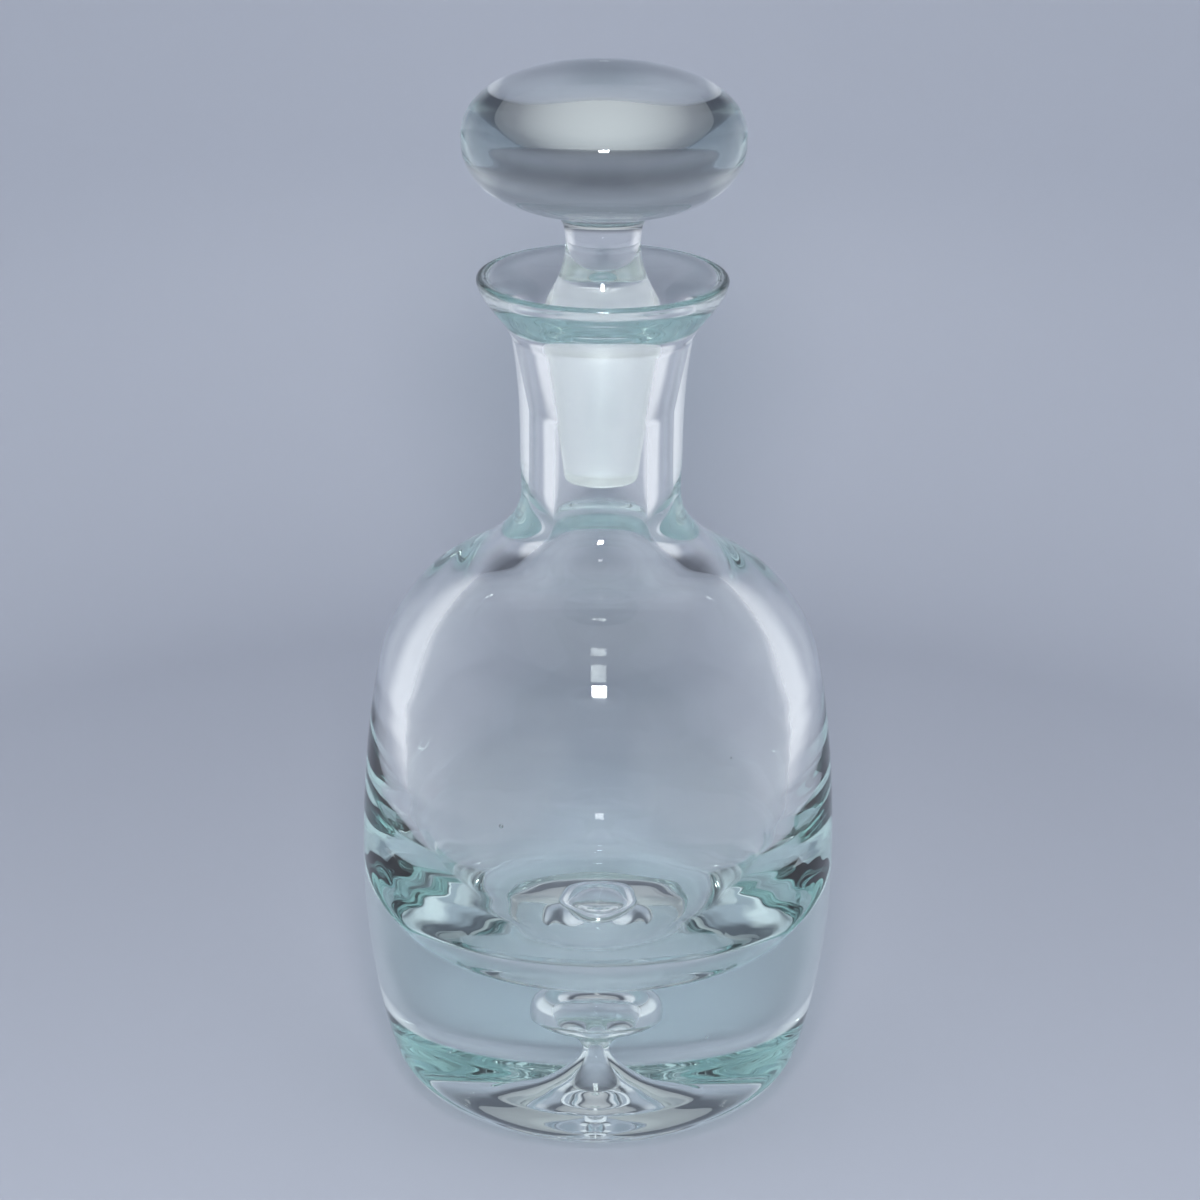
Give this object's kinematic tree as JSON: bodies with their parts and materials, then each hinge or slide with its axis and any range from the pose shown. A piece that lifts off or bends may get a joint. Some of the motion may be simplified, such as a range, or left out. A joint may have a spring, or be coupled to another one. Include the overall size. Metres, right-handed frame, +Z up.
{
  "type": "decanter",
  "caption": "Clear glass decanter with a rounded body, a thick base round an air bubble, a flared lip and a solid glass stopper with a flattened round knob.",
  "frame": {"origin": "middle of the underside, on the plane of the ring that the decanter stands on", "axes": "+Z up along the axis that both pieces are turned about; X and Y are level and alike"},
  "size_m": [0.118, 0.118, 0.2602],
  "materials": {
    "bottle_glass": "clear blown glass with a faint green tint in its thick edges, ground matt inside the neck where the stopper sits",
    "stopper_glass": "clear solid glass, polished on the knob and waist, ground matt on the tapered peg"
  },
  "bodies": {
    "bottle": {"bottle": "bottle_glass"},
    "stopper": {"stopper": "stopper_glass"}
  },
  "joints": [
    {"name": "stopper_lift", "type": "slide", "parent": "bottle", "child": "stopper", "axis": [0, 0, 1], "range_m": [0, 0.055]}
  ]
}
